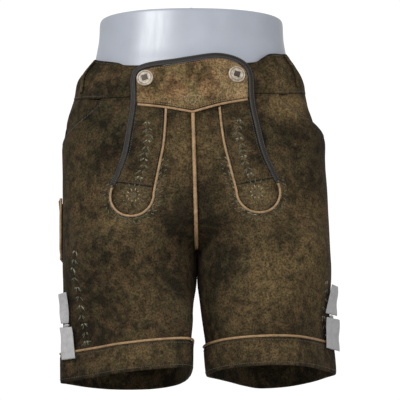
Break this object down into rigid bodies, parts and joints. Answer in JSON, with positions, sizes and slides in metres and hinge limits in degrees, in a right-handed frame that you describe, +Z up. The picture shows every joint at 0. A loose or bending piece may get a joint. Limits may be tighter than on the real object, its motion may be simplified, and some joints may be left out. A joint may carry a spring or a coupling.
{
  "type": "lederhosen on a hanging hip form",
  "caption": "Short dark suede lederhosen with a drop-front flap, tan piping, side ties and turned cuffs, filled out on a limbless hip form that hangs by a wire loop.",
  "frame": {"origin": "inside top of the wire loop, where a hook carries the form", "axes": "+X to the right of someone who looks at the front, -Y the way the front faces, +Z up"},
  "size_m": [0.3622, 0.2371, 0.4979],
  "materials": {
    "dark_suede": "napped suede, olive brown with paler worn patches",
    "tan_suede": "napped suede, tan brown, mottled",
    "tan_piping": "smooth, matte",
    "grey_binding": "smooth, satin",
    "button_horn": "horn look, satin",
    "button_centre": "dark, matte",
    "grey_ribbon": "plain ribbon, soft sheen",
    "form_plastic": "gloss",
    "loop_wire": "bright wire"
  },
  "bodies": {
    "root": {"display_form": "form_plastic", "hang_loop": "loop_wire", "front_panel_left": "dark_suede", "front_panel_right": "dark_suede", "back_panel_left": "dark_suede", "back_panel_right": "dark_suede", "hip_facing_left": "dark_suede", "hip_facing_right": "dark_suede", "waistband_left": "dark_suede", "waistband_right": "dark_suede", "belt_loop_front_left": "dark_suede", "belt_loop_front_right": "dark_suede", "belt_loop_back_left": "dark_suede", "belt_loop_back_right": "dark_suede", "flap_yoke": "tan_suede", "tongue_left": "dark_suede", "tongue_right": "dark_suede", "tongue_tip_left": "dark_suede", "tongue_tip_right": "dark_suede", "flap_binding": "grey_binding", "yoke_piping": "tan_piping", "centre_piping": "tan_piping", "tongue_piping_left": "tan_piping", "tongue_piping_right": "tan_piping", "button_left": "button_horn", "button_right": "button_horn", "button_inset_left": "button_centre", "button_inset_right": "button_centre", "knife_pocket": "dark_suede", "knife_piping": "tan_piping", "cuff_left": "dark_suede", "cuff_right": "dark_suede", "cuff_piping_left": "tan_piping", "cuff_piping_right": "tan_piping", "tie_left_upper": "grey_ribbon", "tie_left_lower": "grey_ribbon", "tie_right_upper": "grey_ribbon", "tie_right_lower": "grey_ribbon", "tie_knot_left": "grey_ribbon", "tie_knot_right": "grey_ribbon"}
  },
  "joints": []
}
